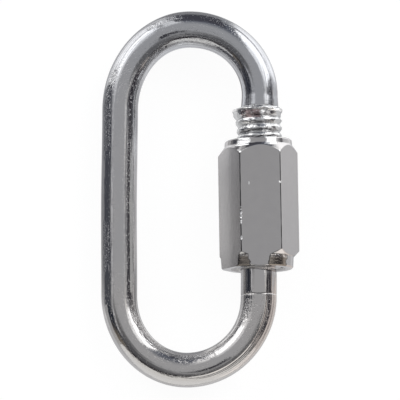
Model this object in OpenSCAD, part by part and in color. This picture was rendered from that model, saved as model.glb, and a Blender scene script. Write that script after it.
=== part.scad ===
// A quick link: one bent rod with a gap in one leg, and a hexagon sleeve nut that runs along
// that leg on a fine thread and closes the gap.
// It lies as it comes to rest, on a flat of the nut and on the plain leg. The legs run along
// Y, Z is up, and the origin is on the surface, under the middle of the link's outline.

/* [Rod] */
// Diameter of the rod
rod_d = 3.3; // [2.8:0.1:3.6]
// Clear width inside the link, from leg to leg
inner_w = 9.5; // [8:0.5:12]
// Length over both bends
overall_l = 34.8; // [32:0.1:40]

/* [Gap] */
// Gap between the two ends, open when the nut is run up
gap_w = 3.6; // [3.3:0.1:4]
// Straight length of the lower end, from its bend to its tip
lower_end_l = 4.9; // [4.7:0.05:5.4]

/* [Thread] */
// Diameter over the thread
thread_d = 4.15; // [4:0.05:4.5]
// Height of the thread's rounded ridge
ridge_h = 0.3; // [0.1:0.02:0.3]
// Pitch of the thread, which is right-hand
pitch = 0.7; // [0.5:0.05:1]
// Height above the link's middle at which a crest points at the plain leg
crest_y = 6.83; // [6:0.01:8]
// Length over which the root comes up to the crest where the thread ends
runout_l = 1.4; // [0.5:0.1:2]
// Length of thread on the lower end
lower_thread_l = 1.35; // [1:0.05:1.6]
// Diameter of the bare nose past the thread, at each tip
nose_d = 3.2; // [2.6:0.1:3.3]
// Length of that nose
nose_l = 0.35; // [0.3:0.05:0.6]
// Width of the chamfer round each tip
nose_chamfer = 0.2; // [0.1:0.05:0.25]

/* [Run-out collars] */
// Length of the swollen neck between the upper bend and the run-out collar
neck_l = 1; // [0.5:0.1:1.5]
// Diameter of the neck where it meets the collar
neck_d = 3.5; // [3.4:0.05:3.8]
// Width of the upper collar along the leg
upper_collar_w = 1.05; // [0.6:0.05:1.4]
// Diameter of the upper collar
upper_collar_d = 4.4; // [4.2:0.05:4.6]
// How far the upper collar lies off the thread's axis, toward the eye
upper_collar_off = 0.2; // [0:0.05:0.25]
// Width of the lower collar, which the nut covers
lower_collar_w = 0.3; // [0.2:0.05:0.5]
// How far the lower collar stands over the thread, on the radius
lower_collar_over = 0.02; // [0.01:0.01:0.03]

/* [Nut] */
// Width across the nut's flats
nut_af = 6.35; // [5.8:0.05:7.5]
// Length of the nut
nut_l = 11.8; // [10:0.1:12.5]
// How far the nut's middle lies below the middle of the link
nut_drop = 0.57; // [0:0.01:1.5]
// Degrees by which the outside of the nut is askew to its bore, its upper end toward the eye
nut_skew = 1.4; // [0:0.1:2]
// Running clearance between the thread and the nut, on the radius
nut_clear = 0.05; // [0.04:0.01:0.1]
// Diameter of the countersunk mouth at the lower end of the bore
mouth_d = 5; // [4.6:0.1:5.4]
// Depth of the wide bore at the upper end, which takes in the upper collar when the link is open
wide_bore_l = 4.4; // [4:0.1:4.8]
// Clearance between the upper collar and that wide bore, on the radius
wide_bore_clear = 0.1; // [0.05:0.05:0.2]

/* [Nut's turned ends] */
// Diameter of the turned band at the upper end
upper_band_d = 6.26; // [5.8:0.02:6.3]
// Length of that band
upper_band_l = 0.65; // [0.3:0.05:1]
// Length of the chamfer from that band to the hexagon's corners
upper_chamfer_l = 0.65; // [0.4:0.05:1]
// Diameter of the turned band at the lower end
lower_band_d = 6.62; // [6.2:0.02:6.8]
// Length of that band
lower_band_l = 1.03; // [0.5:0.01:1.5]
// Length of the chamfer from that band to the hexagon's corners
lower_chamfer_l = 0.36; // [0.2:0.02:0.8]
// How far the lower band was turned off centre, toward the eye
lower_band_off = 0.15; // [0:0.05:0.3]
// Width of the broken edge round each end face
rim_chamfer = 0.1; // [0.05:0.05:0.2]

/* [Hidden] */
$fn = 96;

rod_r = rod_d / 2;
nose_r = nose_d / 2;
leg_gap = inner_w + rod_d;
bend_r = leg_gap / 2;
leg_l = overall_l - leg_gap - rod_d;

// Heights along the open leg, measured from the middle of the link
bend_top = leg_l / 2;
bend_low = -leg_l / 2;
lower_tip = bend_low + lower_end_l;
upper_tip = lower_tip + gap_w;
lower_collar_top = lower_tip - nose_l - lower_thread_l;
upper_collar_top = bend_top - neck_l;
upper_collar_low = upper_collar_top - upper_collar_w;

thread_r = thread_d / 2;
root_r = thread_r - ridge_h;
thread_sides = 18;
rings_per_turn = 8;

corner_r = nut_af / 2 / cos(30);
bore_r = thread_r + nut_clear;
wide_bore_r = upper_collar_d / 2 + upper_collar_off + wide_bore_clear;
cut = 1; // how far a cutting solid runs past what it cuts

// The link leans on its plain leg, because the nut's flat holds the other leg higher
lean = asin((nut_af / 2 - rod_r) / leg_gap);
nut_reach = corner_r * cos(nut_skew)
    + (nut_l / 2 - lower_band_l - lower_chamfer_l) * sin(nut_skew);
outline_w = rod_r + leg_gap * cos(lean) + nut_reach;
plain_leg_x = rod_r - outline_w / 2;
open_leg_x = outline_w / 2 - nut_reach;

// One straight round length of rod from y0 to y1, with its own end radii
module round_length(y0, y1, r0, r1) {
    translate([0, y0, 0]) rotate([-90, 0, 0]) cylinder(h = y1 - y0, r1 = r0, r2 = r1);
}

module bend() {
    rotate_extrude(angle = 180) translate([bend_r, 0]) circle(r = rod_r);
}

// A bare nose from y to the tip, with a chamfer round its face.
// up is 1 where the tip points up the leg and -1 where it points down
module nose(y, tip_y, up) {
    l = abs(tip_y - y);
    translate([0, y, 0]) rotate([-90 * up, 0, 0]) {
        cylinder(h = l - nose_chamfer, r = nose_r);
        translate([0, 0, l - nose_chamfer])
            cylinder(h = nose_chamfer, r1 = nose_r, r2 = nose_r - nose_chamfer);
    }
}

// The thread is a loft of many-sided rings, whose corners stand out where the helix passes.
// Both ends carry parts of one helix, since one nut runs on both.
// From the tip the crest rises over one turn, and at out_y the root has come up to the crest
function crest(y, a) = (1 + cos(a - 180 - 360 * (y - crest_y) / pitch)) / 2;
function lead(y, tip_y) = min(1, abs(y - tip_y) / pitch);
function runout(y, out_y) = max(0, 1 - abs(y - out_y) / runout_l);
function thread_height(c, rise, fill) = ridge_h * (c * max(rise, fill) + (1 - c) * fill);
function ring(y, tip_y, out_y) = [for (i = [0 : thread_sides - 1])
    let (a = 360 * i / thread_sides)
    let (r = root_r + thread_height(crest(y, a), lead(y, tip_y), runout(y, out_y)))
    [r * cos(a), y, -r * sin(a)]];

module thread(tip_y, out_y) {
    low = min(tip_y, out_y);
    length = abs(out_y - tip_y);
    rings = ceil(length / pitch * rings_per_turn);
    n = thread_sides;
    points = [for (j = [0 : rings]) each ring(low + length * j / rings, tip_y, out_y)];
    sides = [for (j = [0 : rings - 1], i = [0 : n - 1])
        let (a = j * n + i, b = j * n + (i + 1) % n)
        each [[a, a + n, b + n], [a, b + n, b]]];
    ends = [[for (i = [0 : n - 1]) i], [for (i = [n - 1 : -1 : 0]) rings * n + i]];
    polyhedron(points = points, faces = concat(sides, ends));
}

// The burr that the rolling of the thread leaves where it ends, w wide, up from y
module collar(y, w, r, r_low, r_high) {
    edge = w / 4;
    translate([0, y, 0]) rotate([-90, 0, 0]) rotate_extrude()
        polygon([[0, 0], [r_low, 0], [r, edge], [r, w - edge], [r_high, w], [0, w]]);
}

module upper_end() {
    out_y = upper_collar_low + upper_collar_w / 2;
    round_length(upper_collar_top, bend_top, neck_d / 2, rod_r);
    translate([-upper_collar_off, 0, 0])
        collar(upper_collar_low, upper_collar_w, upper_collar_d / 2, root_r, neck_d / 2);
    thread(upper_tip + nose_l, out_y);
    nose(out_y, upper_tip, -1);
}

module lower_end() {
    low = lower_collar_top - lower_collar_w;
    out_y = low + lower_collar_w / 2;
    round_length(bend_low, low, rod_r, rod_r);
    collar(low, lower_collar_w, thread_r + lower_collar_over, rod_r, root_r);
    thread(lower_tip - nose_l, out_y);
    nose(out_y, lower_tip, 1);
}

module link_body() {
    color([0.74, 0.75, 0.77])
    translate([plain_leg_x, 0, rod_r]) rotate([0, -lean, 0]) {
        round_length(bend_low, bend_top, rod_r, rod_r);
        translate([bend_r, bend_top, 0]) bend();
        translate([bend_r, bend_low, 0]) mirror([0, 1, 0]) bend();
        translate([leg_gap, 0, 0]) {
            upper_end();
            lower_end();
        }
    }
}

// What a lathe leaves of a bar at one end: a band, and a chamfer out to the corners.
// The end face is at z = 0 and the bar goes down from it
module turned_end(band_d, band_l, chamfer_l) {
    r = band_d / 2;
    slope = chamfer_l / (corner_r - min(r, corner_r - rim_chamfer));
    far_r = corner_r + cut;
    far_z = -band_l - slope * (far_r - r);
    rotate_extrude() polygon([
        [0, 0], [r - rim_chamfer, 0], [r, -rim_chamfer], [r, -band_l],
        [far_r, far_z], [far_r, -nut_l - cut], [0, -nut_l - cut]]);
}

// Where the bore widens to radius r, at 45 degrees, and stays so for a length l up to z = 0
module widening(r, l) {
    depth = r - bore_r;
    translate([0, 0, -l]) {
        translate([0, 0, -depth]) cylinder(h = depth, r1 = bore_r, r2 = r);
        cylinder(h = l + cut, r = r);
    }
}

module sleeve_nut() {
    color([0.66, 0.66, 0.66])
    translate([open_leg_x, -nut_drop, nut_af / 2]) rotate([-90, 0, 0]) difference() {
        rotate([0, -nut_skew, 0]) intersection() {
            cylinder(h = nut_l, r = corner_r, center = true, $fn = 6);
            translate([0, 0, nut_l / 2]) turned_end(upper_band_d, upper_band_l, upper_chamfer_l);
            translate([-lower_band_off, 0, -nut_l / 2]) mirror([0, 0, 1])
                turned_end(lower_band_d, lower_band_l, lower_chamfer_l);
        }
        cylinder(h = nut_l + 2 * cut, r = bore_r, center = true);
        translate([0, 0, nut_l / 2]) widening(wide_bore_r, wide_bore_l);
        translate([0, 0, -nut_l / 2]) mirror([0, 0, 1]) widening(mouth_d / 2, 0);
    }
}

link_body();
sleeve_nut();
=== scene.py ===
import math

import bpy
import numpy as np
from mathutils import Matrix, Vector, noise


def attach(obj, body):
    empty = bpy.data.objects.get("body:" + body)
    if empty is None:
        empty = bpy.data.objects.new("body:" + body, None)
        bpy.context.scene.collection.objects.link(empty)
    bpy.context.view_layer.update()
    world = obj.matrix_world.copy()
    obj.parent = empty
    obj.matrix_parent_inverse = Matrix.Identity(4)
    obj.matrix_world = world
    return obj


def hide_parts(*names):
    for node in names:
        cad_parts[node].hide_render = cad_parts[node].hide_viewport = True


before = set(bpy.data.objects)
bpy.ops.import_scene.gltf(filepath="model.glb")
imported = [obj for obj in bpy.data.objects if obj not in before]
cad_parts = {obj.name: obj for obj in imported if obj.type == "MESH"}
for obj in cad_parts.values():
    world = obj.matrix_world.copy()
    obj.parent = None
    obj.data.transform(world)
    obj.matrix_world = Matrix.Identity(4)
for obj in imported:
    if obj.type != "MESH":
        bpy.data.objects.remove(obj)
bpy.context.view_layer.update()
scene = bpy.context.scene

# Lengths in this script are in millimetres, and MM turns them into Blender's metres
MM = 0.001

# The same sizes as in the part's source. Heights are along the legs, from the link's middle
ROD_R = 1.65
INNER_W = 9.5
GAP_W = 3.6
LOWER_TIP = -4.45
NOSE_R = 1.6
NOSE_L = 0.35
NOSE_CHAMFER = 0.2
THREAD_R = 2.075
PITCH = 0.7
CREST_Y = 6.83
LOWER_THREAD_L = 1.35
LOWER_COLLAR_W = 0.3
COLLAR_R = 2.2
COLLAR_OFF = 0.2
NUT_AF = 6.35
NUT_L = 11.8
NUT_MIDDLE = -0.57
NUT_SKEW = math.radians(1.4)
NUT_CLEAR = 0.05
WIDE_BORE_CLEAR = 0.1
WIDE_BORE_L = 4.4
MOUTH_R = 2.5
LOW_BAND_L = 1.03
LOW_CHAMFER_L = 0.36

LEG_GAP = INNER_W + 2 * ROD_R
BEND_R = LEG_GAP / 2
UPPER_TIP = LOWER_TIP + GAP_W
LOWER_RUNOUT = LOWER_TIP - NOSE_L - LOWER_THREAD_L - LOWER_COLLAR_W / 2
BORE_R = THREAD_R + NUT_CLEAR
WIDE_BORE_R = COLLAR_R + COLLAR_OFF + WIDE_BORE_CLEAR
FLAT_R = NUT_AF / 2
CORNER_R = FLAT_R / math.cos(math.radians(30))
HALF = NUT_L / 2

# The link leans on its plain leg, because the nut's flat holds the other leg higher
LEAN = math.asin((FLAT_R - ROD_R) / LEG_GAP)
CORNERS_L = HALF - LOW_BAND_L - LOW_CHAMFER_L
NUT_REACH = CORNER_R * math.cos(NUT_SKEW) + CORNERS_L * math.sin(NUT_SKEW)
OUTLINE_W = ROD_R + LEG_GAP * math.cos(LEAN) + NUT_REACH
PLAIN_X = ROD_R - OUTLINE_W / 2
OPEN_X = OUTLINE_W / 2 - NUT_REACH


def smooth(x, low, high):
    """0 before low, 1 after high, and a smooth rise between them."""
    t = np.clip((x - low) / (high - low), 0, 1)
    return t * t * (3 - 2 * t)


def soft_min(a, b, width):
    """The smaller of a and b, rounded over where they meet."""
    h = np.clip(0.5 + (b - a) / (2 * width), 0, 1)
    return b * (1 - h) + a * h - width * h * (1 - h)


def wander(points, size, seed):
    """Smooth noise from -1 to 1 at each point, with lumps about size across."""
    flat = points.reshape(-1, 3) / size + np.array([seed * 17.3, seed * 5.1, seed * 9.7])
    return np.array([noise.noise(Vector(p)) for p in flat]).reshape(points.shape[:-1])


def ring_mesh(name, rows, closed, layer_name, values):
    """A mesh from rows of points, all with the same number around, and a vector at each point.

    closed joins the last row to the first. Otherwise both ends are filled with a fan."""
    count, around = rows.shape[:2]
    points = rows.reshape(-1, 3)
    kept = values.reshape(-1, 3)
    start = np.arange(count if closed else count - 1)[:, None] * around
    column = np.arange(around)[None, :]
    after = (column + 1) % around
    above = (start + around) % (count * around)
    quads = np.stack([start + column, start + after, above + after, above + column], -1)
    faces = quads.reshape(-1, 4).tolist()
    if not closed:
        first = len(points)
        last = first + 1
        top = (count - 1) * around
        for i in range(around):
            j = (i + 1) % around
            faces.append([first, j, i])
            faces.append([last, top + i, top + j])
        points = np.concatenate([points, [rows[0].mean(0), rows[-1].mean(0)]])
        kept = np.concatenate([kept, [values[0].mean(0), values[-1].mean(0)]])
    mesh = bpy.data.meshes.new(name)
    mesh.from_pydata((points * MM).tolist(), [], faces)
    layer = mesh.attributes.new(layer_name, "FLOAT_VECTOR", "POINT")
    layer.data.foreach_set("vector", kept.ravel())
    mesh.update()
    mesh.validate()
    mesh.shade_smooth()
    made = bpy.data.objects.new(name, mesh)
    scene.collection.objects.link(made)
    return made


# Link body

AROUND = 96
ANGLES = np.arange(AROUND) * 2 * math.pi / AROUND
# Steps along the rod: on the thread, the neck, the witness line and the bare lower end
FINE_STEP = 0.035
NECK_STEP = 0.06
WITNESS_STEP = 0.02
BARE_STEP = 0.1
# Numbers of steps on each quarter bend and on the plain leg
BEND_STEPS = 52
PLAIN_STEPS = 90

# Tips: radii on the flat face, and depths and radii of the rounded chamfer round it
FACE_RADII = (0.35, 0.9, 1.3)
CHAMFER = ((0.01, NOSE_R - NOSE_CHAMFER), (0.13, NOSE_R - 0.08), (NOSE_CHAMFER + 0.02, NOSE_R))
CHAMFER_END = NOSE_CHAMFER + 0.05
# Half the length over which the nose passes into the thread, and the lower thread's lead-in
NOSE_BLEND = 0.1
LOWER_LEAD_L = 0.5

# The thread's root, and a power that makes its crests wide and its roots narrow
ROOT_R = 1.83
CREST_POWER = 0.42
# Heights over which the upper thread's root comes up, and the radius that it comes up to
RUNOUT = (5.7, 7.5)
RUNOUT_ROOT_R = 1.97
# Heights over which its crests swell, and by how much
SWELL = (6.6, 7.2)
SWELL_H = 0.05
# Heights over which its ridges start to crumble, how deep, and how large the crumbs are
CRUMBLE_FROM = (4.8, 5.6)
CRUMBLE = 0.075
CRUMBLE_SIZE = 0.36
# Smaller crumbs between them: their share and how many times smaller they are. How much of the
# crumbling is in the root
FINE_CRUMBS = (0.4, 2.5)
CRUMBLE_IN_ROOT = 0.3
# The radius at which lumps and crumbs have their size
LUMPY_R = 2.0
# The narrow bore can cover the thread up to this height, where it stays inside this radius
COVERED_TO = 6.5
COVERED_R = 2.1

# The collar: heights over which it rises and falls, its middle, how much its rounding takes
# off at the half width, height and size of its lumps, and depth, size and seed of its torn edges
COLLAR_RISE = (7.38, 7.60)
COLLAR_FALL = (8.14, 8.40)
COLLAR_MIDDLE = 7.9
COLLAR_HALF = 0.5
COLLAR_ROUND = 0.05
COLLAR_LUMP = 0.05
COLLAR_LUMP_SIZE = 0.45
TORN = ((0.10, 0.55, 2), (0.05, 0.2, 3))
# There is only thread below this height
THREAD_TO = 7.08
# The curled lip on the collar: height, half width, how far it stands out, and size of its waves
LIP_Y = 8.07
LIP_W = 0.12
LIP_H = 0.09
LIP_SIZE = 0.5
# The swollen neck: its lower and upper height, and its radius where it meets the collar
NECK = (8.36, 9.45)
NECK_R = 1.72
COLLAR_END = 8.7
# How far the upper end lies toward the eye, by the heights over which it comes there
UPPER_OFFSETS = [
    ((6.5, 7.0), 0.08),
    ((7.2, 7.6), COLLAR_OFF),
    ((8.06, NECK[0]), -0.02),
    ((8.6, NECK[1]), 0.0),
]

# The lower thread's run-out: heights over it between which the burr rises and the roots open,
# and where on the leg the fine steps start
BURR_RISE = (-0.15, -0.02)
ROOTS_OPEN = (0.05, 0.5)
BURR_FROM = -6.6
# The faint line cut round the lower end: height, tilt, depth and half width, and where it ends
WITNESS_Y = -8.85
WITNESS_TILT = 0.05
WITNESS_DEPTH = 0.032
WITNESS_W = 0.04
WITNESS_END = -8.65

# How the rod was really bent: where each bend starts on the open leg and on the plain one, where
# its crown is, and how far the legs stray from straight, all within a quarter of a millimetre
# of the drawing. Across, the plain leg is at 0 and the open one at LEG_GAP
TOP_START = (9.48, 8.25)
LOW_START = (9.1, 8.75)
TOP_CROWN_U = 6.344
LOW_CROWN_U = 6.366
CROWN_V = 15.7
PLAIN_TOP_U = 0.012
PLAIN_LOW_U = 0.122
PLAIN_BOW = 0.062
OPEN_TOP_STRAY = 0.036
OPEN_LOW_STRAY = 0.061
OPEN_TOP_STRAYS = (7.4, NECK[1])
OPEN_LOW_STRAYS = (6.3, 7.2)
# How much thicker the rod is at the upper crown and thinner in the lower bend, and the angles
# from the leg, in radians, over which it becomes so
TOP_THICKER = 0.03
TOP_THICKER_AT = (1.05, 1.5)
LOW_THINNER = 0.06
LOW_THINNER_AT = (0.0, 0.6)

# Slight waves in the rod's surface, drawn out along it, and all of it a hair inside the drawing
WAVE = 0.007
WAVE_SIZE = 1.0
WAVE_SHARE_ALONG = 0.35
INSIDE = 0.004


def crest(v, a):
    """1 on the crest of the right-hand thread and 0 in its root, at height v and angle a."""
    return (1 + np.cos(a + math.pi + 2 * math.pi * (v - CREST_Y) / PITCH)) / 2


def upper_thread(v, a, at):
    """Radius of the long thread, from the nose at its tip to its run-out under the collar."""
    share, smaller = FINE_CRUMBS
    crumble = wander(at, CRUMBLE_SIZE, 1) + share * wander(at, CRUMBLE_SIZE / smaller, 11)
    crumble = CRUMBLE * crumble * smooth(v, *CRUMBLE_FROM)
    nose_top = UPPER_TIP + NOSE_L
    root = ROOT_R + (RUNOUT_ROOT_R - ROOT_R) * smooth(v, *RUNOUT)
    lead = smooth(v, nose_top, nose_top + PITCH)
    top = THREAD_R + SWELL_H * smooth(v, *SWELL)
    thread = root + (top - root) * crest(v, a) ** CREST_POWER * lead
    thread = thread + crumble * (CRUMBLE_IN_ROOT + (1 - CRUMBLE_IN_ROOT) * crest(v, a))
    thread = np.where(v < COVERED_TO, np.minimum(thread, COVERED_R), thread)
    return NOSE_R + (thread - NOSE_R) * smooth(v, nose_top - NOSE_BLEND, nose_top + NOSE_BLEND)


def upper_shift(v):
    """How far the upper end lies toward the eye at height v."""
    shift = -OPEN_TOP_STRAY * smooth(v, *OPEN_TOP_STRAYS)
    before = 0.0
    for heights, off in UPPER_OFFSETS:
        shift = shift + (off - before) * smooth(v, *heights)
        before = off
    return shift


def upper_shape(v, a):
    """Radius and sideways shift of the upper end: its thread, collar and neck."""
    at = np.stack([LUMPY_R * np.cos(a), v, LUMPY_R * np.sin(a)], -1)
    thread = upper_thread(v, a, at)
    torn = v + sum(depth * wander(at, size, seed) for depth, size, seed in TORN)
    lumps = COLLAR_LUMP * wander(at, COLLAR_LUMP_SIZE, 4)
    bulge = COLLAR_R + lumps - COLLAR_ROUND * ((v - COLLAR_MIDDLE) / COLLAR_HALF) ** 2
    neck = ROD_R + (NECK_R - ROD_R) * np.clip((NECK[1] - v) / (NECK[1] - NECK[0]), 0, 1)
    base = np.where(v < COLLAR_MIDDLE, thread, neck)
    collar = base + (bulge - base) * smooth(torn, *COLLAR_RISE) * (1 - smooth(torn, *COLLAR_FALL))
    lip = LIP_H * (1 + wander(at, LIP_SIZE, 5)) * np.exp(-(((torn - LIP_Y) / LIP_W) ** 2))
    return np.where(v < THREAD_TO, thread, collar + lip), upper_shift(v)


def lower_shape(v, a):
    """Radius and sideways shift of the lower end, with the short thread inside the nut."""
    nose_low = -LOWER_TIP + NOSE_L
    thread = ROOT_R + (THREAD_R - ROOT_R) * crest(v, a) ** CREST_POWER
    thread = NOSE_R + (thread - NOSE_R) * smooth(-v, nose_low - NOSE_BLEND, nose_low + LOWER_LEAD_L)
    above = v - LOWER_RUNOUT
    thread = THREAD_R + (thread - THREAD_R) * smooth(above, *ROOTS_OPEN)
    burr = ROD_R + (THREAD_R - ROD_R) * smooth(above, *BURR_RISE)
    line = WITNESS_Y + WITNESS_TILT * np.cos(a)
    cut = WITNESS_DEPTH * np.exp(-(((v - line) / WITNESS_W) ** 2))
    return np.where(above > 0, thread, burr) - cut, -OPEN_LOW_STRAY * smooth(-v, *OPEN_LOW_STRAYS)


def plain_shape(v, a):
    """Radius and sideways shift of the plain leg, which bows a little between its ends."""
    t = (v + LOW_START[1]) / (TOP_START[1] + LOW_START[1])
    bow = PLAIN_BOW * (1 - np.cos(2 * math.pi * t)) / 2
    return ROD_R + 0 * a, PLAIN_LOW_U + (PLAIN_TOP_U - PLAIN_LOW_U) * t - bow


def tip_rows(tip, up):
    """Heights and radii at a tip, from the middle of its face to the foot of its chamfer."""
    flat = tuple((0, r) for r in FACE_RADII)
    return [(tip - up * depth, r) for depth, r in flat + CHAMFER]


def link_rows():
    """Rings of points round the rod from the upper tip to the lower one, and for each point its
    place on the rod: across, up, and along from the upper tip."""
    rows = []
    grain = []

    def put(centre, out, r, shift, s):
        """A ring of radius r, with its angle 0 in the direction out and s along the rod."""
        side = (r * np.cos(ANGLES) - shift)[:, None] * np.array([out[0], out[1], 0.0])
        lift = (r * np.sin(ANGLES))[:, None] * np.array([0.0, 0.0, 1.0])
        rows.append(np.array([centre[0], centre[1], 0.0]) + side + lift)
        grain_r = ROD_R * np.minimum(r / NOSE_R, 1)
        grain.append(np.stack([grain_r * np.cos(ANGLES), grain_r * np.sin(ANGLES), s + 0 * ANGLES], -1))

    def tip(heights_and_radii, s):
        for height, r in heights_and_radii:
            put((LEG_GAP, height), (1, 0), r + 0 * ANGLES, 0.0, s)

    def leg(u, heights, shape, out, s):
        """Rings along a leg at u across, from s along the rod. Gives s at their end."""
        v, a = np.broadcast_arrays(heights[:, None], ANGLES[None, :])
        r, shift = shape(v, a)
        for k, height in enumerate(heights):
            put((u, height), out, r[k], shift[k], s + abs(height - heights[0]))
        return s + abs(heights[-1] - heights[0])

    def quarter(crown, foot, start, angles, s):
        """Rings on a quarter of an oval, at angles from the leg toward the crown."""
        across = foot - crown
        along = CROWN_V - abs(start)
        sign = 1 if start > 0 else -1
        step = BEND_R * abs(angles[1] - angles[0])
        for k, phi in enumerate(angles):
            cosine, sine = math.cos(phi), math.sin(phi)
            centre = (crown + across * cosine, start + sign * along * sine)
            out = np.array([math.copysign(along, across) * cosine, sign * abs(across) * sine])
            if start > 0:
                r = ROD_R + TOP_THICKER * smooth(phi, *TOP_THICKER_AT)
            else:
                r = ROD_R - LOW_THINNER * smooth(phi, *LOW_THINNER_AT)
            put(centre, out / np.linalg.norm(out), r + 0 * ANGLES, 0.0, s + step * (k + 1))
        return s + step * len(angles)

    up_to_crown = np.linspace(0, math.pi / 2, BEND_STEPS + 1)[1:]
    down_again = up_to_crown[::-1][1:]
    upper = np.concatenate([
        np.arange(UPPER_TIP + CHAMFER_END, COLLAR_END, FINE_STEP),
        np.arange(COLLAR_END, TOP_START[0] + 0.01, NECK_STEP)])
    plain = np.linspace(TOP_START[1], -LOW_START[1], PLAIN_STEPS)
    lower = np.concatenate([
        np.arange(-LOW_START[0], WITNESS_END, WITNESS_STEP),
        np.arange(WITNESS_END, BURR_FROM, BARE_STEP),
        np.arange(BURR_FROM, LOWER_TIP - CHAMFER_END, FINE_STEP)])

    tip(tip_rows(UPPER_TIP, -1), 0.0)
    s = leg(LEG_GAP, upper, upper_shape, (1, 0), 0.0)
    s = quarter(TOP_CROWN_U, LEG_GAP + OPEN_TOP_STRAY, TOP_START[0], up_to_crown, s)
    s = quarter(TOP_CROWN_U, PLAIN_TOP_U, TOP_START[1], down_again, s)
    s = leg(0.0, plain, plain_shape, (-1, 0), s)
    s = quarter(LOW_CROWN_U, PLAIN_LOW_U, -LOW_START[1], up_to_crown, s)
    s = quarter(LOW_CROWN_U, LEG_GAP + OPEN_LOW_STRAY, -LOW_START[0], down_again, s)
    s = leg(LEG_GAP, lower, lower_shape, (1, 0), s)
    tip(reversed(tip_rows(LOWER_TIP, 1)), s)
    return np.array(rows), np.array(grain)


def settle(points):
    """From the link's own plane to where it lies."""
    u, v, w = points[..., 0], points[..., 1], points[..., 2]
    x = PLAIN_X + u * math.cos(LEAN) - w * math.sin(LEAN)
    z = ROD_R + u * math.sin(LEAN) + w * math.cos(LEAN)
    return np.stack([x, v, z], -1)


rows, grain = link_rows()
waves = wander(grain * np.array([1, 1, WAVE_SHARE_ALONG]), WAVE_SIZE, 6)
inward = INSIDE + WAVE * (0.5 + 0.5 * waves[..., None])
middle = rows.mean(1, keepdims=True)
reach = np.linalg.norm(rows - middle, axis=-1, keepdims=True)
rows = middle + (rows - middle) * (1 - inward / np.maximum(reach, 1.0))
link = ring_mesh("link_rod", settle(rows), False, "grain", grain)

# Sleeve nut

# How round the edges between its faces are, and how wide the broken edge of each end face is
EDGE_W = 0.035
RIM = 0.1
# Its turned ends: radius, length, chamfer, offset of the lathe's axis, and taper. The upper one
# is tilted as well, which comes in between these depths below the end face
TOP_BAND = (3.11, 0.55, 0.77, (0.06, -0.10), 0.1)
LOW_BAND = (3.33, LOW_BAND_L, LOW_CHAMFER_L, (-0.22, 0.0), 0.07)
TOP_TILT = 0.02
TOP_TILT_BELOW = (2.2, 1.2)
# How far the hexagon stands out past what the lathe left, where that starts to count as turned
CUT_EDGE = (-0.01, 0.02)
# Depth of the nut's thread, and how far up from the mouth it is drawn and fades
INNER_THREAD_DEPTH = 0.22
INNER_THREAD_L = 2.6
INNER_THREAD_FADE = 0.7

# The hexagon's corners are broken by a narrow flat, whose depth varies along it, and deeper
# where they are knocked: number of the corner, from and to along it, depth, and length of the
# knocks
BREAK = 0.024
BREAK_VARIES = 0.4
BREAK_WAVE = 0.8
BREAK_EDGE = 0.006
BROKEN_EDGE = 0.004
KNOCKED_DEEP = 0.02
KNOCKS = [
    (2, -2.15, -0.5, 0.07, 0.11),
    (2, -3.55, -2.95, 0.10, 0.45),
    (1, 1.63, 1.77, 0.07, 0.50),
    (1, 4.42, 4.62, 0.08, 0.50),
    (2, 4.42, 4.62, 0.08, 0.50),
]
# Where round it a highlight is painted on the upper end, and a dark reflection on the lower end: from
# and to, in degrees. How ragged their edges are, in degrees, how large that is, and about at what
# radius
PAINTED_HIGHLIGHT_SECTORS = [(58, 82), (107, 131)]
PAINTED_DARK_SECTORS = [(43, 80), (109, 136)]
RAGGED = 7
RAGGED_SIZE = 0.35
RAGGED_R = 3.2
# Distances from each end between which those parts begin
PAINTED_HIGHLIGHT_BELOW = (TOP_BAND[1] + 0.25, TOP_BAND[1] + 0.15)
PAINTED_DARK_ABOVE = (LOW_BAND[1] + 0.08, LOW_BAND[1] - 0.02)

# Angles of the points round the nut, in degrees from each corner, closest where it is broken
HALF_SECTOR = [
    0, 0.2, 0.4, 0.6, 0.85, 1.1, 1.4, 1.8, 2.4, 3.2, 4.4, 6, 7.8, 9.6, 11.4, 13.2,
    15, 16.8, 18.6, 20.4, 22.2, 24, 25.8, 27.9, 30]
SECTOR = [-x for x in reversed(HALF_SECTOR[1:])] + HALF_SECTOR[:-1]
THETA = np.radians(np.array([60 * k + x for k in range(6) for x in SECTOR]))

# Steps along the nut, fine over each turned end, and down the grooves in its mouth, and numbers
# of rows in its wide and its narrow bore
NUT_FINE = 0.03
NUT_COARSE = 0.08
GROOVE_STEP = 0.06
WIDE_ROWS = 7
NARROW_ROWS = 6
LOW_FINE_L = 1.62
TOP_FINE_L = 1.5
# Depths and extra radii of the wide bore's rounded edge, and shares of the way over each face
WIDE_EDGE = ((0, 0.06), (0.02, 0.03), (0.06, 0.01), (0.12, 0), (0.3, 0), (0.5, 0))
TOP_FACE = (0.03, 0.12, 0.4, 0.7, 0.9)
LOW_FACE = (0.1, 0.3, 0.6, 0.88, 0.97)
# The bore's rows follow the slant of the end faces over this length
SLANT_L = 0.5


def plane(distance, direction):
    """Radius at each angle of a plane at that distance from the axis, facing that way."""
    nearest = 0.2
    far_off = 99.0
    cosine = np.cos(THETA - math.radians(direction))
    return np.where(cosine > nearest, distance / np.maximum(cosine, nearest), far_off)


def hexagon(y):
    """Radius of the hexagon at height y, where its corners are broken, and where knocked."""
    best = plane(FLAT_R, 30)
    for k in range(1, 6):
        best = np.minimum(best, plane(FLAT_R, 60 * k + 30))
    broken = 0 * THETA
    knocked = 0 * THETA
    for k in range(6):
        varies = noise.noise(Vector((k * 7.1, y / BREAK_WAVE, 3.0)))
        deep = BREAK * (1 + BREAK_VARIES * varies)
        hit = 0.0
        for corner, low, high, depth, length in KNOCKS:
            if corner == k and low < y < high:
                hit += depth * max(0.0, noise.noise(Vector((1.7, y / length, 8.0))) + 0.2)
        face = plane(CORNER_R - deep - hit, 60 * k)
        here = smooth(best - face, -BROKEN_EDGE, BROKEN_EDGE)
        broken = np.maximum(broken, here)
        knocked = np.maximum(knocked, here * min(1.0, hit / KNOCKED_DEEP))
        best = soft_min(best, face, BREAK_EDGE)
    return best, broken, knocked


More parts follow.
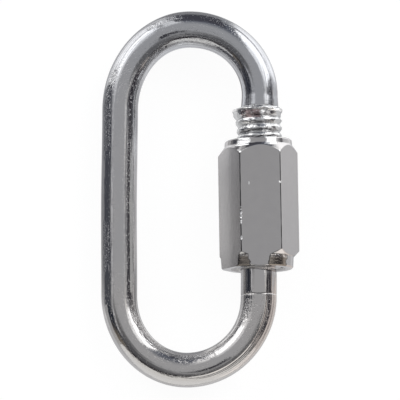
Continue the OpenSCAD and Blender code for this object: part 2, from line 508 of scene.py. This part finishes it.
def turned(depth, band):
    """Radius that the lathe left at that depth below an end face."""
    r, length, chamfer_l, off, taper = band
    slope = (CORNER_R - r) / chamfer_l
    grown = r + np.maximum(0, depth - length) * slope
    grown = grown - taper * np.maximum(0, length - depth)
    grown = grown - np.maximum(0, RIM - depth)
    ahead = off[0] * np.cos(THETA) + off[1] * np.sin(THETA)
    aside = off[0] * np.sin(THETA) - off[1] * np.cos(THETA)
    return ahead + np.sqrt(grown**2 - aside**2)


def sectors(ranges, y, seed):
    """1 between the angles of each range, with ragged edges, and 0 elsewhere."""
    at = np.stack([RAGGED_R * np.cos(THETA), y + 0 * THETA, RAGGED_R * np.sin(THETA)], -1)
    degrees = np.degrees(THETA) + RAGGED * wander(at, RAGGED_SIZE, seed)
    total = 0 * THETA
    for low, high in ranges:
        inside = smooth(degrees, low - 1, low + 1) * (1 - smooth(degrees, high - 1, high + 1))
        total = total + inside
    return total


def nut_outside(y):
    """Radius at height y, and there the painted shade on a corner, the painted dark reflection, and the
    painted highlight with the knocks.
    """
    r, broken, knocked = hexagon(y)
    top = turned(HALF - y, TOP_BAND)
    low = turned(HALF + y, LOW_BAND)
    at_top = smooth(r - top, *CUT_EDGE) * (y > 0)
    at_low = smooth(r - low, *CUT_EDGE) * (y < 0)
    # Painted dark reflection: the lower end's turned corners that face up are tinted dark
    painted_dark_patch = at_low * smooth(-y, HALF - PAINTED_DARK_ABOVE[0], HALF - PAINTED_DARK_ABOVE[1]) * sectors(PAINTED_DARK_SECTORS, y, 21)
    # Painted highlight: the upper end's turned corners that face up are tinted bright
    painted_highlight = at_top * smooth(y, HALF - PAINTED_HIGHLIGHT_BELOW[0], HALF - PAINTED_HIGHLIGHT_BELOW[1])
    painted_highlight = painted_highlight * sectors(PAINTED_HIGHLIGHT_SECTORS, y, 22)
    # Painted shade: a dark line on each broken corner, except where turned or knocked
    dark = broken * (1 - at_top) * (1 - at_low) * (1 - knocked)
    painted_light_and_knocks = np.stack([dark, painted_dark_patch, np.maximum(knocked, painted_highlight)], -1)
    return soft_min(soft_min(r, top, EDGE_W), low, EDGE_W), painted_light_and_knocks


def nut_rows():
    """Rows of points up the outside, over the upper end, down the bore and over the lower end."""
    rows = []
    painted_light_rows = []

    def circle(y, r):
        r = r + 0 * THETA
        return np.stack([r * np.cos(THETA), y + 0 * THETA, r * np.sin(THETA)], -1)

    def skewed(points):
        x, y = points[:, 0].copy(), points[:, 1].copy()
        y = y + TOP_TILT * x * smooth(y, HALF - TOP_TILT_BELOW[0], HALF - TOP_TILT_BELOW[1])
        points[:, 0] = x * math.cos(NUT_SKEW) - y * math.sin(NUT_SKEW)
        points[:, 1] = x * math.sin(NUT_SKEW) + y * math.cos(NUT_SKEW)
        return points

    def bore(y, r, end):
        points = circle(y, r)
        near = 1 - smooth(abs(y - end), 0, SLANT_L)
        points[:, 1] += points[:, 0] * math.tan(NUT_SKEW) * near
        return points

    def face(outer, inner, steps):
        for t in steps:
            rows.append(outer + (inner - outer) * t)

    def groove(y):
        return INNER_THREAD_DEPTH * crest(y + NUT_MIDDLE, THETA)

    heights = np.concatenate([
        np.arange(-HALF, -HALF + LOW_FINE_L, NUT_FINE),
        np.arange(-HALF + LOW_FINE_L + NUT_FINE, HALF - TOP_FINE_L, NUT_COARSE),
        np.arange(HALF - TOP_FINE_L, HALF - 0.01, NUT_FINE), [HALF]])
    for y in heights:
        r, painted_light_and_knocks = nut_outside(y)
        rows.append(skewed(circle(y, r)))
        painted_light_rows.append(painted_light_and_knocks)
    face(rows[-1], bore(HALF, WIDE_BORE_R + WIDE_EDGE[0][1], HALF), TOP_FACE)
    for depth, wider in WIDE_EDGE:
        rows.append(bore(HALF - depth, WIDE_BORE_R + wider, HALF))
    for y in np.linspace(HALF - 1, HALF - WIDE_BORE_L, WIDE_ROWS):
        rows.append(circle(y, WIDE_BORE_R))
    ledge = WIDE_BORE_R - BORE_R
    rows.append(circle(HALF - WIDE_BORE_L - ledge / 2, BORE_R + ledge / 2))
    for y in np.linspace(HALF - WIDE_BORE_L - ledge, -HALF + INNER_THREAD_L, NARROW_ROWS):
        rows.append(circle(y, BORE_R))
    mouth = MOUTH_R - BORE_R
    drawn_to = HALF - INNER_THREAD_L
    for y in np.arange(-drawn_to - GROOVE_STEP, -HALF + mouth, -GROOVE_STEP):
        fade = smooth(-y, drawn_to, drawn_to + INNER_THREAD_FADE)
        rows.append(bore(y, BORE_R + groove(y) * fade, -HALF))
    for depth in (mouth, mouth / 2, 0.06, 0.02, 0):
        grooved = BORE_R + groove(-HALF + depth) * (depth > 0)
        rows.append(bore(-HALF + depth, np.maximum(MOUTH_R - depth, grooved), -HALF))
    face(rows[-1], rows[0], LOW_FACE)
    painted_light_rows += [np.zeros((len(THETA), 3))] * (len(rows) - len(painted_light_rows))
    return np.array(rows), np.array(painted_light_rows)


rows, painted_light_and_knocks = nut_rows()
rows = rows + np.array([OPEN_X, NUT_MIDDLE, FLAT_R])
# Its attribute holds where shade and highlights are painted on it, and where it is knocked
nut = ring_mesh("sleeve_hex", rows[:, ::-1], True, "painted_light_and_knocks", painted_light_and_knocks[:, ::-1])

# Materials


def add(tree, kind, settings=None, links=None, **values):
    """A node with its settings, its linked inputs by index or name, and its input values."""
    made = tree.nodes.new(kind)
    for name, value in (settings or {}).items():
        setattr(made, name, value)
    for name, value in values.items():
        made.inputs[name.replace("_", " ")].default_value = value
    for name, source in (links or {}).items():
        if isinstance(source, bpy.types.NodeSocket):
            tree.links.new(source, made.inputs[name])
        else:
            made.inputs[name].default_value = source
    return made


def math_node(tree, operation, a, b=0.0, clamp=False):
    made = add(tree, "ShaderNodeMath", {"operation": operation, "use_clamp": clamp}, {0: a, 1: b})
    return made.outputs[0]


def times(tree, *factors):
    """The product of two or more numbers."""
    total = factors[0]
    for factor in factors[1:]:
        total = math_node(tree, "MULTIPLY", total, factor)
    return total


def largest(tree, *values):
    """The largest of two or more numbers."""
    total = values[0]
    for value in values[1:]:
        total = math_node(tree, "MAXIMUM", total, value)
    return total


def scaled(tree, vector, scales):
    made = add(tree, "ShaderNodeMapping", {"vector_type": "POINT"}, {"Vector": vector}, Scale=scales)
    return made.outputs[0]


def noise_node(tree, vector, scale, detail=2.0, roughness=0.5):
    made = add(
        tree, "ShaderNodeTexNoise", None, {"Vector": vector},
        Scale=scale, Detail=detail, Roughness=roughness)
    return made.outputs[0]


def stretched_noise(tree, vector, scales, detail=2.0, roughness=0.5):
    """Noise with its own scale along each axis."""
    return noise_node(tree, scaled(tree, vector, scales), 1.0, detail, roughness)


def ramp(tree, value, low, high, start, end):
    """start below low, end above high, and a smooth change between them."""
    return add(
        tree, "ShaderNodeMapRange", {"interpolation_type": "SMOOTHSTEP"}, {"Value": value},
        From_Min=low, From_Max=high, To_Min=start, To_Max=end).outputs[0]


def rise(tree, value, low, high):
    """0 below low, 1 above high, and a smooth rise between them."""
    return ramp(tree, value, low, high, 0.0, 1.0)


def fall(tree, value, low, high):
    """1 below low, 0 above high, and a smooth fall between them."""
    return ramp(tree, value, low, high, 1.0, 0.0)


def spot(tree, place, middle, half):
    """1 at the middle of a patch and 0 outside it, along one axis."""
    off = math_node(tree, "ABSOLUTE", math_node(tree, "SUBTRACT", place, middle))
    return fall(tree, off, half * 0.7, half)


def blend_colours(tree, factor, a, b):
    """A colour that goes from a to b as factor goes from 0 to 1."""
    settings = {"data_type": "RGBA", "clamp_factor": True}
    return add(tree, "ShaderNodeMix", settings, {0: factor, 6: a, 7: b}).outputs[2]


def blend_numbers(tree, factor, a, b):
    """A number that goes from a to b as factor goes from 0 to 1."""
    settings = {"data_type": "FLOAT", "clamp_factor": True}
    return add(tree, "ShaderNodeMix", settings, {0: factor, 2: a, 3: b}).outputs[0]


def bumps(tree, layers):
    """A normal from layers of bump, each with its height, its strength and its depth."""
    normal = None
    for height, strength, depth in layers:
        made = add(
            tree, "ShaderNodeBump", None, {"Height": height}, Strength=strength, Distance=depth * MM)
        if normal is not None:
            tree.links.new(normal, made.inputs["Normal"])
        normal = made.outputs[0]
    return normal


def metal(name, surface):
    """A metal whose tint, roughness and normal are what surface(tree) gives."""
    made = bpy.data.materials.new(name)
    made.use_nodes = True
    tree = made.node_tree
    shader = tree.nodes["Principled BSDF"]
    shader.inputs["Metallic"].default_value = 1.0
    shader.inputs["Specular Tint"].default_value = GLANCING_TINT
    for name, source in zip(("Base Color", "Roughness", "Normal"), surface(tree)):
        tree.links.new(source, shader.inputs[name])
    return made


def attribute_parts(tree, name):
    """An attribute of the mesh, and its three parts."""
    whole = add(tree, "ShaderNodeAttribute", {"attribute_name": name}).outputs["Vector"]
    return whole, add(tree, "ShaderNodeSeparateXYZ", None, {0: whole}).outputs


# The tint of either metal seen edge-on, and of the nut's knocks, nick, bright specks and painted
# highlights
GLANCING_TINT = (0.75, 0.75, 0.76, 1)
SHINY = (0.95, 0.95, 0.95, 1)

# The rod's tints: cool and warm plating, scratches, specks where it is scuffed, the crusted
# thread, the white of the highlights painted on it, and the stain on the collar
COOL = (0.465, 0.475, 0.50, 1)
WARM = (0.54, 0.525, 0.515, 1)
SCRATCHED = (0.17, 0.17, 0.18, 1)
SPECKLED = (0.85, 0.85, 0.85, 1)
CRUSTED = (0.62, 0.625, 0.63, 1)
PAINTED_HIGHLIGHT_WHITE = (0.96, 0.96, 0.96, 1)
STAINED = (0.39, 0.315, 0.315, 1)
# Places on the rod are in millimetres along it from the upper tip, and across it from the line
# of its top. Where the crusted plating on the thread starts and ends
CRUST_FROM = (5.0, 5.8)
CRUST_TO = (8.95, 9.12)
# The brown stain on the collar: its middle and half size across and along the leg
STAIN_ACROSS = (-0.38, 0.80)
STAIN_ALONG = (8.17, 0.44)
# The highlight painted white on the lip over the stain
LIP_HIGHLIGHT_ALONG = (8.71, 0.19)
# The highlight painted white on the crests, from the first to the second distance off this line
HIGHLIGHT_MIDDLE = -0.08
HIGHLIGHT_FROM = (0.34, 0.50)
HIGHLIGHT_TO = (0.95, 1.15)
# Along which the plating's colour turns from cool to warm, and by how much
WARM_ALONG = (20, 54)
WARMER = (-0.35, 0.35)
# From where the lower end is free of pits
CLEAN_FROM = (66.6, 67.4)
# How far off the line of its top the rod is scratched
SCRATCHED_FROM = (0.45, 0.8)
# The streaked outside of the lower bend: middle and half size along it, then across it
STREAKED = ((62.5, 5.5), (1.25, 0.5))
# Patches where the rod is scuffed, only on its upper side: middle and half size along it, then
# across it
UPPER_SIDE = (-0.2, 0.1)
SCUFFS = [
    ((31.0, 4.4), (1.02, 0.36)),
    ((22.0, 1.7), (0.95, 0.22)),
    ((52.0, 4.0), (-1.22, 0.28)),
    ((57.8, 2.2), (-0.9, 0.4)),
    ((66.0, 1.6), (-0.9, 0.4)),
    ((42.8, 2.7), (1.03, 0.34)),
]


def scuffed_part(tree, grain, across, upward, along):
    """1 in each scuffed patch, broken up by noise, and 0 outside them."""
    patches = [
        times(tree, spot(tree, along, *along_it), spot(tree, across, *across_it))
        for along_it, across_it in SCUFFS]
    broken_up = rise(tree, stretched_noise(tree, grain, (1.6, 1.6, 0.8), 2.0, 0.6), 0.36, 0.50)
    return times(tree, largest(tree, *patches), rise(tree, upward, *UPPER_SIDE), broken_up)


def painted_highlight_part(tree, grain, across, along, crusted, lumps):
    """1 where a highlight is painted white, on the crests and on the collar's lip."""
    blotches = noise_node(tree, grain, 1.9, 3.0, 0.65)
    off = math_node(tree, "ABSOLUTE", math_node(tree, "SUBTRACT", across, HIGHLIGHT_MIDDLE))
    crests = times(
        tree, rise(tree, blotches, 0.45, 0.50), crusted,
        rise(tree, off, *HIGHLIGHT_FROM), fall(tree, off, *HIGHLIGHT_TO))
    lip = times(tree, spot(tree, along, *LIP_HIGHLIGHT_ALONG), rise(tree, lumps, 0.34, 0.42))
    return largest(tree, crests, lip)


def rod_surface(tree):
    grain, (across, upward, along) = attribute_parts(tree, "grain")
    # Drawing marks run along the rod, so their noise is stretched along it
    marks = stretched_noise(tree, grain, (3.2, 3.2, 0.16), 3.0, 0.6)
    fine_marks = stretched_noise(tree, grain, (11.0, 11.0, 0.5), 2.0, 0.6)
    ripple = noise_node(tree, grain, 2.2, 2.0, 0.55)
    patches = stretched_noise(tree, grain, (0.5, 0.5, 0.12))
    pits = times(
        tree, rise(tree, noise_node(tree, grain, 7.5, 2.0, 0.6), 0.58, 0.70),
        ramp(tree, patches, 0.40, 0.58, 0.28, 1.0), ramp(tree, along, *CLEAN_FROM, 1.0, 0.1))
    # Scratches left by the die are thin and long, and streaks wider
    scratches = stretched_noise(tree, grain, (7.0, 7.0, 0.10), 2.0, 0.55)
    scratches = times(
        tree, rise(tree, scratches, 0.575, 0.63),
        rise(tree, math_node(tree, "ABSOLUTE", across), *SCRATCHED_FROM))
    streaks = times(
        tree, stretched_noise(tree, grain, (4.5, 4.5, 0.06), 2.0, 0.6),
        times(tree, spot(tree, along, *STREAKED[0]), spot(tree, across, *STREAKED[1])))
    scuffed = scuffed_part(tree, grain, across, upward, along)
    grit = times(tree, noise_node(tree, grain, 7.0, 3.0, 0.65), scuffed)
    specks = times(tree, rise(tree, noise_node(tree, grain, 6.5, 1.0, 0.5), 0.59, 0.65), scuffed)
    crusted = times(tree, rise(tree, along, *CRUST_FROM), fall(tree, along, *CRUST_TO))
    lumps = noise_node(tree, grain, 4.5, 3.0, 0.6)
    # Painted highlight: white plating on the thread's crests and on the collar's lip
    painted_highlight = painted_highlight_part(tree, grain, across, along, crusted, lumps)
    stained = times(
        tree, spot(tree, across, *STAIN_ACROSS), spot(tree, along, *STAIN_ALONG),
        rise(tree, lumps, 0.34, 0.46))
    lumpy = times(tree, crusted, blend_numbers(tree, stained, 1.0, 0.3))
    normal = bumps(tree, [
        (marks, 0.9, 0.020),
        (fine_marks, 0.6, 0.003),
        (ripple, 0.6, 0.012),
        (streaks, 1.0, 0.07),
        (scratches, 0.7, 0.006),
        (grit, 1.0, 0.04),
        (pits, 1.0, 0.010),
        (times(tree, lumps, lumpy), 1.0, 0.05),
    ])
    warmer = math_node(tree, "ADD", patches, ramp(tree, along, *WARM_ALONG, *WARMER))
    tint = blend_colours(tree, warmer, COOL, WARM)
    tint = blend_colours(tree, times(tree, scratches, 0.75), tint, SCRATCHED)
    tint = blend_colours(tree, specks, tint, SPECKLED)
    tint = blend_colours(tree, crusted, tint, CRUSTED)
    # Painted highlight: the crests and the lip are tinted white
    tint = blend_colours(tree, painted_highlight, tint, PAINTED_HIGHLIGHT_WHITE)
    tint = blend_colours(tree, stained, tint, STAINED)
    rough = math_node(
        tree, "ADD", ramp(tree, fine_marks, 0.3, 0.7, 0.03, 0.07), times(tree, pits, 0.1))
    rough = blend_numbers(tree, specks, rough, 0.38)
    return tint, blend_numbers(tree, painted_highlight, rough, 0.22), normal


# The nut's tints: its plating from dimple to dimple, painted shade on the broken corners, the painted
# dark reflection on the lower end at its rim and next to the flats, and its black painted outline
NUT_TINTS = ((0.463, 0.454, 0.458, 1), (0.502, 0.494, 0.493, 1))
PAINTED_CORNER_SHADE = (0.07, 0.07, 0.075, 1)
PAINTED_DARK_TINTS = ((0.25, 0.225, 0.20, 1), (0.46, 0.43, 0.41, 1))
PAINTED_DARK_OUTLINE = (0.03, 0.03, 0.03, 1)
# Heights between which the painted dark reflection changes from the first tint to the second
PAINTED_DARK_CHANGES = (-5.75, -5.5)
# A nick in the upper flat: its middle and half size across the nut, then along it
NICK = ((OPEN_X - 1.08, 0.05), (1.0, 0.16))


def nut_surface(tree):
    where = add(tree, "ShaderNodeTexCoord").outputs["Object"]
    at = scaled(tree, where, (1 / MM,) * 3)
    x, y, z = add(tree, "ShaderNodeSeparateXYZ", None, {0: at}).outputs
    # Masks of the painted shade on the corners, the painted dark reflection, and the painted highlight
    # with the knocks
    dark, painted_dark_patch, bright = attribute_parts(tree, "painted_light_and_knocks")[1]
    lay = stretched_noise(tree, at, (9.0, 0.5, 9.0), 2.0, 0.6)
    dimples = noise_node(tree, at, 1.1, 2.0, 0.5)
    pits = rise(tree, noise_node(tree, at, 9.0, 2.0, 0.6), 0.66, 0.78)
    turning_marks = stretched_noise(tree, at, (0.6, 9.0, 0.6), 3.0, 0.7)
    speckle = rise(tree, noise_node(tree, at, 5.0, 3.0, 0.7), 0.53, 0.60)
    nick = times(
        tree, spot(tree, x, *NICK[0]), spot(tree, y, *NICK[1]),
        rise(tree, z, NUT_AF - 0.2, NUT_AF - 0.1))
    lathe = largest(tree, painted_dark_patch, bright)
    near_flats = rise(tree, y, *PAINTED_DARK_CHANGES)
    normal = bumps(tree, [
        (lay, 0.4, 0.002),
        (dimples, 0.4, 0.01),
        (pits, 0.4, 0.004),
        (times(tree, turning_marks, lathe), 1.0, 0.03),
    ])
    tint = blend_colours(tree, dimples, *NUT_TINTS)
    # Painted shade: the broken corners are tinted near black
    tint = blend_colours(tree, dark, tint, PAINTED_CORNER_SHADE)
    # Painted dark reflection on the lower end's turned corners, with a black painted outline round it
    tint = blend_colours(tree, painted_dark_patch, tint, blend_colours(tree, near_flats, *PAINTED_DARK_TINTS))
    outline = math_node(tree, "PINGPONG", painted_dark_patch, 0.5)
    tint = blend_colours(tree, times(tree, outline, 2.0), tint, PAINTED_DARK_OUTLINE)
    # Bright specks inside the painted dark reflection
    bright_specks = times(tree, painted_dark_patch, speckle, near_flats)
    # Painted highlight on the upper end's turned corners, with the knocks, the nick and the specks, in
    # the shiny tint
    shine = largest(tree, rise(tree, bright, 0.1, 0.5), nick, bright_specks)
    tint = blend_colours(tree, shine, tint, SHINY)
    rough = blend_numbers(tree, lathe, ramp(tree, lay, 0.3, 0.7, 0.10, 0.16), 0.22)
    return tint, blend_numbers(tree, nick, rough, 0.4), normal


for piece, material, body, node_name, slot in (
    (link, metal("rod_plating", rod_surface), "link", "link_body", "rod"),
    (nut, metal("nut_plating", nut_surface), "nut", "sleeve_nut", "nut"),
):
    piece.data.materials.append(material)
    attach(piece, body)
    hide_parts(node_name)

# Camera

# The photograph's side and the focal length, in pixels, and the sensor's width
PHOTO_SIDE = 400
FOCAL_PIXELS = 3700
SENSOR = 36
# How far it is from what it looks at, and how far it leans from straight above
DISTANCE = 338
AIM = Vector((-0.03, -0.0943, 2.41))
TILT = math.radians(7.8)
SIDE = math.radians(2.5)
ROLL = math.radians(0.5)
NEAREST = 10
FARTHEST = 20000

toward = Vector((-math.sin(SIDE), -math.sin(TILT) * math.cos(SIDE), math.cos(TILT) * math.cos(SIDE)))
up = (Vector((0, 1, 0)) - toward * toward.y).normalized()
right = up.cross(toward)
camera_right = math.cos(ROLL) * right + math.sin(ROLL) * up
camera_up = -math.sin(ROLL) * right + math.cos(ROLL) * up

camera_data = bpy.data.cameras.new("camera")
camera_data.sensor_width = SENSOR
camera_data.lens = SENSOR * FOCAL_PIXELS / PHOTO_SIDE
camera_data.clip_start = NEAREST * MM
camera_data.clip_end = FARTHEST * MM
camera = bpy.data.objects.new("camera", camera_data)
scene.collection.objects.link(camera)
turn = Matrix((camera_right, camera_up, toward)).transposed().to_4x4()
camera.matrix_world = Matrix.Translation((AIM + toward * DISTANCE) * MM) @ turn
scene.camera = camera

# Floor

FLOOR_HALF = 1500
FLOOR_DROP = 0.01
FLOOR_COLOUR = (0.16, 0.16, 0.16, 1)
# How brightly it glows for the camera. In what the metal mirrors it glows by place: by the
# first value everywhere, and brighter below the link, to its right and inside its eye
FLOOR_SEEN = 0.92
FLOOR_MIRRORED = 0.32
# Below the link, a ring round the middle of the lower bend: the distances over which it starts,
# and over which it goes from its first glow to its second, and where it ends up the link
LOWER_BEND = (-0.5, -9.4, 0)
BELOW_STARTS = (6.5, 8.5)
BELOW_CHANGES = (11, 15)
BELOW_GLOW = (0.42, 0.14)
BELOW_ENDS = (-11, -6)
# To the right of the link, and below there, where the metal mirrors it in peach
RIGHT_STARTS = (8, 14)
RIGHT_GLOW = 0.40
PEACH_STARTS = (7.5, 9.5)
PEACH_ENDS = (-7.5, -5.5)
PEACH_GLOW = 0.62
PEACH = (1.0, 0.90, 0.83, 1)
# Inside the eye: the distances from the middle over which it ends at both sides, the slant of
# its lower end to the right, where it starts and ends up the link, and the heights over which
# it goes from its first glow to its second
EYE_SIDES = (6, 10)
EYE_SLANT = 0.9
EYE_STARTS = (-8, -3)
EYE_ENDS = (13, 16)
EYE_CHANGES = (3, 8)
EYE_GLOW = (0.22, 0.56)
# Places in the eye's two upper corners round which all of it is weaker: the share that is left
# there, and the distances over which it comes back
DARK_CORNERS = [((-3.6, 8.0, 0), 0.4), ((3.0, 9.5, 0), 0.15)]
CORNER_SIZE = (1, 3.5)
# It is glossy too, but only in what the metal mirrors
FLOOR_GLOSS = 0.6
FLOOR_GLOSS_ROUGHNESS = 0.14

floor_mesh = bpy.data.meshes.new("floor")
corners = [
    (x * FLOOR_HALF * MM, y * FLOOR_HALF * MM, -FLOOR_DROP * MM)
    for x, y in ((-1, -1), (1, -1), (1, 1), (-1, 1))]
floor_mesh.from_pydata(corners, [], [(0, 1, 2, 3)])
floor = bpy.data.objects.new("floor", floor_mesh)
scene.collection.objects.link(floor)


def seen_rays(tree, kinds):
    """1 for the named kinds of ray, and 0 for the others."""
    path = tree.nodes.new("ShaderNodeLightPath")
    total = 0.0
    for kind in kinds:
        total = math_node(tree, "ADD", total, path.outputs[kind], True)
    return total


def distance_from(tree, at, place):
    made = add(tree, "ShaderNodeVectorMath", {"operation": "DISTANCE"}, {0: at, 1: place})
    return made.outputs["Value"]


def mix_shaders(tree, factor, a, b):
    return add(tree, "ShaderNodeMixShader", None, {0: factor, 1: a.outputs[0], 2: b.outputs[0]})


def floor_glow(tree, at, x, y, peach):
    """How brightly the floor glows at a place in what the metal mirrors."""
    away = distance_from(tree, at, LOWER_BEND)
    below = times(
        tree, rise(tree, away, *BELOW_STARTS), ramp(tree, away, *BELOW_CHANGES, *BELOW_GLOW),
        fall(tree, y, *BELOW_ENDS))
    beside = largest(
        tree, ramp(tree, x, *RIGHT_STARTS, 0.0, RIGHT_GLOW), times(tree, peach, PEACH_GLOW))
    slanted = math_node(tree, "ADD", times(tree, largest(tree, x, 0.0), EYE_SLANT), y)
    eye = times(
        tree, fall(tree, math_node(tree, "ABSOLUTE", x), *EYE_SIDES),
        times(tree, rise(tree, slanted, *EYE_STARTS), fall(tree, y, *EYE_ENDS)),
        ramp(tree, y, *EYE_CHANGES, *EYE_GLOW))
    glow = math_node(tree, "ADD", largest(tree, below, beside, eye), FLOOR_MIRRORED)
    for place, share in DARK_CORNERS:
        glow = times(tree, glow, ramp(tree, distance_from(tree, at, place), *CORNER_SIZE, share, 1.0))
    return glow


def floor_material():
    made = bpy.data.materials.new("floor")
    made.use_nodes = True
    tree = made.node_tree
    tree.nodes.clear()
    where = add(tree, "ShaderNodeTexCoord").outputs["Object"]
    at = scaled(tree, where, (1 / MM,) * 3)
    x, y = add(tree, "ShaderNodeSeparateXYZ", None, {0: at}).outputs[:2]
    glossy = seen_rays(tree, ("Is Glossy Ray",))
    peach = times(tree, rise(tree, x, *PEACH_STARTS), fall(tree, y, *PEACH_ENDS))
    mirrored = times(tree, floor_glow(tree, at, x, y, peach), glossy)
    seen = times(tree, seen_rays(tree, ("Is Camera Ray", "Is Transmission Ray")), FLOOR_SEEN)
    colour = blend_colours(tree, times(tree, peach, glossy), (1, 1, 1, 1), PEACH)
    strength = math_node(tree, "ADD", seen, mirrored)
    glow = add(tree, "ShaderNodeEmission", None, {"Color": colour, "Strength": strength})
    matte = add(tree, "ShaderNodeBsdfDiffuse", Color=FLOOR_COLOUR)
    gloss = add(tree, "ShaderNodeBsdfGlossy", Color=(1, 1, 1, 1), Roughness=FLOOR_GLOSS_ROUGHNESS)
    surface = mix_shaders(tree, times(tree, glossy, FLOOR_GLOSS), matte, gloss)
    both = add(tree, "ShaderNodeAddShader", None, {0: surface.outputs[0], 1: glow.outputs[0]})
    add(tree, "ShaderNodeOutputMaterial", None, {"Surface": both.outputs[0]})
    return made


floor_mesh.materials.append(floor_material())

# Studio round the link

# Cards that stand on the floor close by, which only the metal sees: corners of each upright
# card at its foot, heights of its lower and upper edge at both, and its colour
STANDING = [
    ("card_pale", (-150, -84), (15, -84), (0, 0), (45, 45.5), (1.06, 1.04, 1.00)),
    ("card_pale_low", (15, -84), (110, -84), (0, 0), (45.5, 36), (1.04, 1.02, 0.98)),
    ("card_edge", (-150, -84), (15, -84), (45, 45.5), (74, 71), (0.04, 0.035, 0.04)),
    ("card_edge_low", (15, -84), (110, -84), (45.5, 36), (71, 58), (0.12, 0.11, 0.11)),
    ("card_left", (-15.5, -10), (-15.5, 13), (0, 0), (7, 7), (0.10, 0.105, 0.125)),
    ("card_top", (-9, 34), (7, 34), (0, 0), (19, 19), (0.10, 0.10, 0.12)),
]
# One more stands inside the eye, and only the plain leg's side of it shows
EYE_CARD = ("card_eye", (-2.0, 6.0), (-2.0, -8.2), (2.2, 2.2), (4.3, 4.3), (0.60, 0.60, 0.59))


def standing_card(name, foot_a, foot_b, low, high, colour, one_sided=False):
    mesh = bpy.data.meshes.new(name)
    corners = [(*foot_a, low[0]), (*foot_b, low[1]), (*foot_b, high[1]), (*foot_a, high[0])]
    mesh.from_pydata([tuple(c * MM for c in corner) for corner in corners], [], [(0, 1, 2, 3)])
    made = bpy.data.objects.new(name, mesh)
    scene.collection.objects.link(made)
    made.visible_camera = False
    made.visible_diffuse = False
    made.visible_shadow = False
    material = bpy.data.materials.new(name)
    material.use_nodes = True
    tree = material.node_tree
    tree.nodes.clear()
    surface = add(tree, "ShaderNodeEmission", Color=(*colour, 1))
    if one_sided:
        behind = tree.nodes.new("ShaderNodeNewGeometry").outputs["Backfacing"]
        surface = mix_shaders(tree, behind, surface, tree.nodes.new("ShaderNodeBsdfTransparent"))
    add(tree, "ShaderNodeOutputMaterial", None, {"Surface": surface.outputs[0]})
    mesh.materials.append(material)


for card in STANDING:
    standing_card(*card)
standing_card(*EYE_CARD, one_sided=True)

# A room of large cards and two soft boxes far off, placed by the angle from the photograph's
# line of sight and by the direction round it: middle and half width round, angles from and to,
# how soft its edges are, all in degrees, and its colour
WHOLE = 180
CEILING = (0.56, 0.56, 0.57)
CARDS = [
    ("dark ring", (100, WHOLE, 86, WHOLE), (8, 5), (0.15, 0.15, 0.165)),
    ("lower ceiling", (263, 97, 22, WHOLE), (14, 9), (0.19, 0.19, 0.195)),
    ("lower left ceiling", (222, 32, 33, WHOLE), (12, 14), (0.13, 0.13, 0.14)),
    ("pale streak", (270, 7, 18, 38), (4, 4), (0.38, 0.38, 0.38)),
    ("camera", (268, 42, -30, 16), (14, 3), (0.08, 0.08, 0.09)),
    ("right wall", (340, 30, 88, WHOLE), (8, 4), (0.84, 0.74, 0.66)),
    ("far card", (87, 19, 46, WHOLE), (5, 16), (0.165, 0.18, 0.22)),
    ("left card", (183, 20, 54, WHOLE), (6, 5), (0.035, 0.04, 0.055)),
    ("lower left card", (208, 14, 60, WHOLE), (6, 5), (0.24, 0.21, 0.175)),
    ("near card", (268, 52, 66, WHOLE), (8, 3), (0.80, 0.79, 0.77)),
    ("right card", (356, 22, 52, 88), (7, 3), (0.065, 0.06, 0.07)),
    ("right low strip", (333, 7, 55, 67), (3, 2), (0.76, 0.68, 0.62)),
    ("left rim", (137, 17, 40, 93), (2, 2), (1.05, 1.05, 1.06)),
    ("left soft box", (134, 15, 55, 93), (2, 5), (2.25, 2.25, 2.25)),
    ("left slit", (110, 5, 45, 92), (2, 4), (1.2, 1.2, 1.2)),
    ("right rim", (44, 21, 39, 92), (2, 3), (1.5, 1.5, 1.5)),
    ("right soft box", (45, 20, 52, 92), (2, 4), (2.2, 2.2, 2.2)),
    ("left strip", (171, 19, 45, 51), (4, 1.5), (0.84, 0.84, 0.86)),
    ("right strip", (8, 22, 42, 48), (4, 1.5), (0.88, 0.86, 0.83)),
]


def studio():
    world = bpy.data.worlds.new("studio")
    scene.world = world
    world.use_nodes = True
    tree = world.node_tree
    tree.nodes.clear()
    direction = tree.nodes.new("ShaderNodeTexCoord").outputs["Generated"]

    def part_along(axis, source):
        settings = {"operation": "DOT_PRODUCT"}
        return add(tree, "ShaderNodeVectorMath", settings, {0: source, 1: tuple(axis)}).outputs["Value"]

    def degrees(cosine):
        return times(tree, math_node(tree, "ARCCOSINE", cosine), 180 / math.pi)

    angle = degrees(part_along(toward, direction))
    flat = add(tree, "ShaderNodeCombineXYZ", None, {
        0: part_along(camera_right, direction), 1: part_along(camera_up, direction)})
    flat = add(tree, "ShaderNodeVectorMath", {"operation": "NORMALIZE"}, {0: flat.outputs[0]})
    flat = flat.outputs[0]
    light = (*CEILING, 1)
    for name, (middle, half, low, high), (soft_round, soft_angle), colour in CARDS:
        mask = rise(tree, angle, low - soft_angle, low + soft_angle)
        if half < WHOLE:
            a = math.radians(middle)
            cosine = part_along((math.cos(a), math.sin(a), 0), flat)
            off = degrees(math_node(tree, "MINIMUM", cosine, 1.0))
            mask = times(tree, mask, fall(tree, off, half - soft_round, half + soft_round))
        if high < WHOLE:
            mask = times(tree, mask, fall(tree, angle, high - soft_angle, high + soft_angle))
        light = blend_colours(tree, mask, light, (*colour, 1))
    room = add(tree, "ShaderNodeBackground", None, {"Color": light, "Strength": 1.0})
    white = add(tree, "ShaderNodeBackground", Color=(1, 1, 1, 1), Strength=1.0)
    seen = seen_rays(tree, ("Is Camera Ray", "Is Transmission Ray"))
    mixed = mix_shaders(tree, seen, room, white)
    add(tree, "ShaderNodeOutputWorld", None, {"Surface": mixed.outputs[0]})


studio()
scene.view_settings.view_transform = "Standard"
